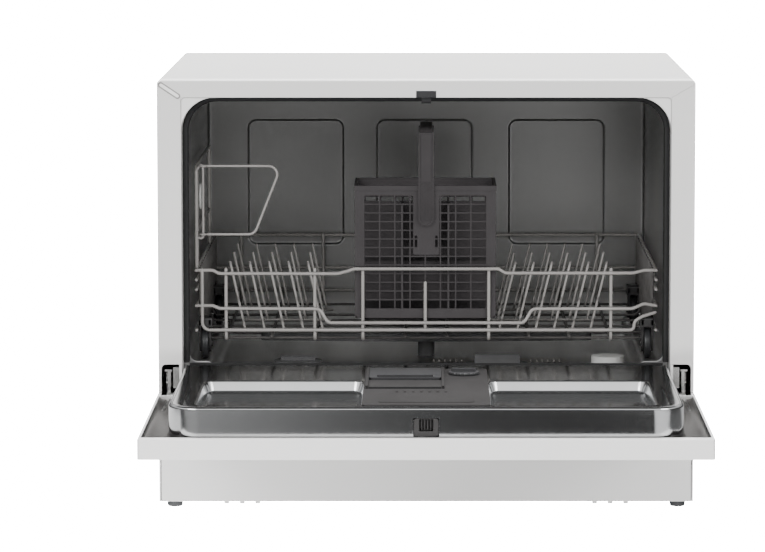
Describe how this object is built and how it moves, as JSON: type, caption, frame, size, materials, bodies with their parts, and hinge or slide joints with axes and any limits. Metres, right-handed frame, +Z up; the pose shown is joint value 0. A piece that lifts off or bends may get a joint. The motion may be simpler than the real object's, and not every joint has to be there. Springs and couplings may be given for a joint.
{
  "type": "countertop dishwasher",
  "caption": "Compact white countertop dishwasher with a drop-down steel-lined door and a wheeled wire basket that rolls out over it.",
  "frame": {"origin": "on the floor under the middle of the part's box, with the door open and the basket at home", "axes": "+X to the machine's right as seen from the front, +Y to the back, +Z up"},
  "size_m": [0.55, 0.8246, 0.442],
  "materials": {
    "white_enamel": "satin white enamel",
    "frame_steel": "pale grey painted steel",
    "zinc_sheet": "galvanised sheet",
    "tub_steel": "brushed stainless sheet",
    "door_steel": "bright stainless sheet",
    "hinge_steel": "pressed steel",
    "spring_steel": "spring steel wire",
    "seal_rubber": "soft black rubber",
    "black_plastic": "black moulded plastic",
    "grey_plastic": "dark grey moulded plastic",
    "pale_plastic": "pale moulded plastic",
    "cutlery_plastic": "dark warm grey moulded plastic",
    "basket_coat": "light warm grey coating on wire",
    "tray_plastic": "grey moulded plastic",
    "pump_metal": "dark painted metal",
    "heater_steel": "stainless tube",
    "board_green": "green circuit board",
    "brass_fit": "machined fitting",
    "foot_rubber": "dark grey rubber",
    "button_plastic": "pale button",
    "wheel_plastic": "black wheel"
  },
  "bodies": {
    "case": {"outer_wrapper": "white_enamel", "front_frame": "frame_steel", "rear_panel": "zinc_sheet", "base_tray": "tray_plastic", "plinth_panel": "white_enamel", "levelling_feet": "foot_rubber", "tub": "tub_steel", "door_seal": "seal_rubber", "bottom_seal": "seal_rubber", "latch_housing": "black_plastic", "latch_spring": "spring_steel", "hinge_brackets": "hinge_steel", "balance_springs": "spring_steel", "sump": "grey_plastic", "wash_pump": "pump_metal", "drain_pump": "pump_metal", "heater": "heater_steel", "water_softener": "pale_plastic", "flat_filter": "heater_steel", "inlet_valve": "brass_fit", "drain_spigot": "grey_plastic", "cord_gland": "black_plastic", "air_break_box": "pale_plastic", "spray_arm_post": "grey_plastic", "case_screws": "hinge_steel"},
    "latch_bolt": {"latch_tongue": "black_plastic"},
    "softener_cap": {"salt_cap": "grey_plastic"},
    "filter": {"filter_cylinder": "grey_plastic"},
    "float": {"overflow_float": "pale_plastic"},
    "spray_arm": {"spray_arm": "grey_plastic"},
    "door": {"door_outer_panel": "white_enamel", "door_inner_panel": "door_steel", "hinge_arms": "hinge_steel", "hinge_pins": "hinge_steel", "dispenser_body": "grey_plastic", "latch_keeper": "black_plastic", "control_panel": "black_plastic", "control_board": "board_green", "grip_cup": "black_plastic"},
    "lid": {"detergent_lid": "grey_plastic"},
    "rinse_cap": {"rinse_aid_cap": "grey_plastic"},
    "power_key": {"power_button": "button_plastic"},
    "programme_key": {"programme_button": "button_plastic"},
    "start_key": {"start_button": "button_plastic"},
    "basket": {"basket_front_wires": "basket_coat", "basket_rear_wires": "basket_coat", "basket_left_wires": "basket_coat", "basket_right_wires": "basket_coat", "basket_floor_wires": "basket_coat", "left_side_frame": "basket_coat", "left_tines": "basket_coat", "right_tines": "basket_coat", "wheel_brackets": "cutlery_plastic"},
    "wheel_fl": {"wheel_front_left": "wheel_plastic"},
    "wheel_fr": {"wheel_front_right": "wheel_plastic"},
    "wheel_rl": {"wheel_rear_left": "wheel_plastic"},
    "wheel_rr": {"wheel_rear_right": "wheel_plastic"},
    "shelf": {"cup_shelf": "basket_coat"},
    "cutlery": {"cutlery_basket": "cutlery_plastic", "cutlery_handle": "cutlery_plastic"}
  },
  "joints": [
    {"name": "door_hinge", "type": "hinge", "parent": "case", "child": "door", "pos_m": [0, -0.0878, 0.1175], "axis": [-1, 0, 0], "range_deg": [0, 90], "deforming": ["balance_springs"]},
    {"name": "basket_slide", "type": "slide", "parent": "case", "child": "basket", "axis": [0, 1, 0], "range_m": [-0.251, 0]},
    {"name": "latch_slide", "type": "slide", "parent": "case", "child": "latch_bolt", "axis": [0, 0, 1], "range_m": [0, 0.007], "stiffness_N_per_m": 300, "springref_m": -0.004, "deforming": ["latch_spring"]},
    {"name": "softener_cap_turn", "type": "hinge", "parent": "case", "child": "softener_cap", "pos_m": [-0.135, 0.035, 0.13], "axis": [0, 0, 1], "range_deg": [0, 90]},
    {"name": "filter_twist", "type": "hinge", "parent": "case", "child": "filter", "pos_m": [0.075, 0.04, 0.13], "axis": [0, 0, 1], "range_deg": [0, 90]},
    {"name": "float_rise", "type": "slide", "parent": "case", "child": "float", "axis": [0, 0, 1], "range_m": [0, 0.008]},
    {"name": "spray_spin", "type": "hinge", "parent": "case", "child": "spray_arm", "pos_m": [0, 0.1385, 0.147], "axis": [0, 0, 1], "continuous": true},
    {"name": "detergent_lid_slide", "type": "slide", "parent": "door", "child": "lid", "axis": [0, -1, 0], "range_m": [0, 0.06]},
    {"name": "rinse_cap_turn", "type": "hinge", "parent": "door", "child": "rinse_cap", "pos_m": [0.038, -0.165, 0.15], "axis": [0, 0, 1], "range_deg": [0, 90]},
    {"name": "power_press", "type": "slide", "parent": "door", "child": "power_key", "axis": [0, 0, 1], "range_m": [0, 0.0015], "stiffness_N_per_m": 400, "springref_m": -0.001},
    {"name": "programme_press", "type": "slide", "parent": "door", "child": "programme_key", "axis": [0, 0, 1], "range_m": [0, 0.0015], "stiffness_N_per_m": 400, "springref_m": -0.001},
    {"name": "start_press", "type": "slide", "parent": "door", "child": "start_key", "axis": [0, 0, 1], "range_m": [0, 0.0015], "stiffness_N_per_m": 400, "springref_m": -0.001},
    {"name": "wheel_fl_spin", "type": "hinge", "parent": "basket", "child": "wheel_fl", "pos_m": [-0.2295, -0.025, 0.1643], "axis": [1, 0, 0], "continuous": true},
    {"name": "wheel_fr_spin", "type": "hinge", "parent": "basket", "child": "wheel_fr", "pos_m": [0.2295, -0.025, 0.1643], "axis": [1, 0, 0], "continuous": true},
    {"name": "wheel_rl_spin", "type": "hinge", "parent": "basket", "child": "wheel_rl", "pos_m": [-0.2295, 0.267, 0.1643], "axis": [1, 0, 0], "continuous": true},
    {"name": "wheel_rr_spin", "type": "hinge", "parent": "basket", "child": "wheel_rr", "pos_m": [0.2295, 0.267, 0.1643], "axis": [1, 0, 0], "continuous": true},
    {"name": "cup_shelf_swing", "type": "hinge", "parent": "basket", "child": "shelf", "pos_m": [-0.231, -0.029, 0.314], "axis": [0, 0, 1], "range_deg": [0, 90]},
    {"name": "cutlery_lift", "type": "slide", "parent": "basket", "child": "cutlery", "axis": [0, 0, 1], "range_m": [0, 0.02]}
  ]
}
